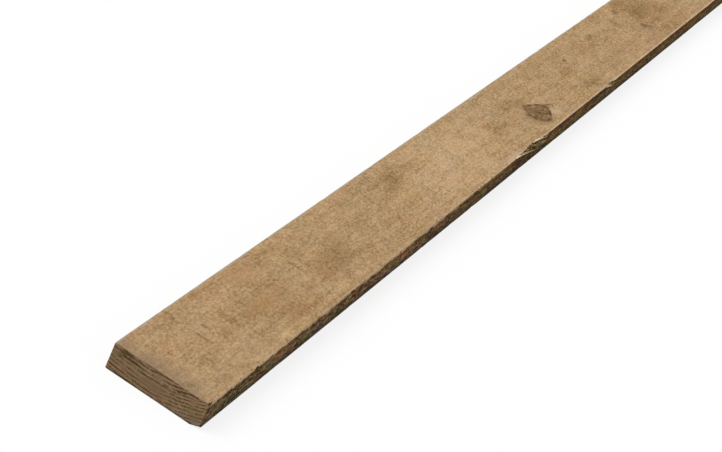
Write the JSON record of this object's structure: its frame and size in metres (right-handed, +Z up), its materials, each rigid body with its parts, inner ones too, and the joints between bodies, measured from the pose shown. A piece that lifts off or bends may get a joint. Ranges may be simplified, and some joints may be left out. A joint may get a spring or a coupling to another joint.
{
  "type": "rough-sawn timber plank",
  "caption": "Rough-sawn softwood board for general building work: flat rectangular section, worn arrises, a face knot and a torn-out edge.",
  "frame": {"origin": "centre of the underside", "axes": "+X along the board, away from the front end that has the leaning saw cut; +Y across the board, to the left seen from that end; +Z up out of the face with the knot"},
  "size_m": [1.8289, 0.1, 0.028],
  "materials": {
    "sawn_timber": "dry, unplaned, fuzzy from the saw, with dirty edges and stains"
  },
  "bodies": {
    "root": {"plank": "sawn_timber"}
  },
  "joints": []
}
